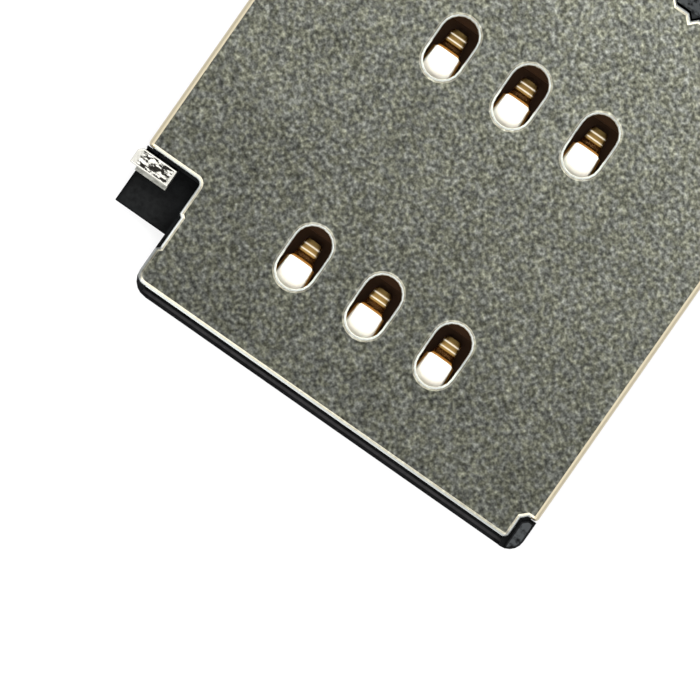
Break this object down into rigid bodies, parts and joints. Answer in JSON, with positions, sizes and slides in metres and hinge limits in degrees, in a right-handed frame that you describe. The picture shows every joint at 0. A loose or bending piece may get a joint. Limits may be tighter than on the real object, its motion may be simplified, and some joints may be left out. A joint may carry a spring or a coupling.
{
  "type": "sim card socket",
  "caption": "Low board socket for a small card tray: folded steel cover, moulded base, spring contacts under windows and a side push-rod ejector.",
  "frame": {"origin": "middle of the footprint, in the plane of the circuit board that the solder feet stand on", "axes": "+X towards the wall away from the push rod, +Y the way the tray goes in, +Z away from the board"},
  "size_m": [0.0161, 0.0178, 0.0015],
  "materials": {
    "black_resin": "fine moulded, matte black",
    "satin_steel": "satin, finely mottled sheet",
    "gold_plate": "bright gold plating on copper alloy",
    "stamped_steel": "stamped, with rough sheared edges"
  },
  "bodies": {
    "socket": {"base_housing": "black_resin", "cover_shell": "satin_steel", "contact_front_left": "gold_plate", "contact_front_middle": "gold_plate", "contact_front_right": "gold_plate", "contact_rear_left": "gold_plate", "contact_rear_middle": "gold_plate", "contact_rear_right": "gold_plate", "lever_pivot": "stamped_steel", "detect_spring": "gold_plate", "detect_terminal": "gold_plate"},
    "push_rod": {"push_rod": "stamped_steel"},
    "eject_lever": {"eject_lever": "stamped_steel"}
  },
  "joints": [
    {"name": "rod_slide", "type": "slide", "parent": "socket", "child": "push_rod", "axis": [0, -1, 0], "range_m": [0, 0.001]},
    {"name": "lever_turn", "type": "hinge", "parent": "socket", "child": "eject_lever", "pos_m": [-0.00336, 0.00707, 0.00072], "axis": [0, 0, 1], "range_deg": [0, 14.9]}
  ],
  "couplings": [
    {"joint": "lever_turn", "follows": "rod_slide", "rad_per_m": 259.74}
  ]
}
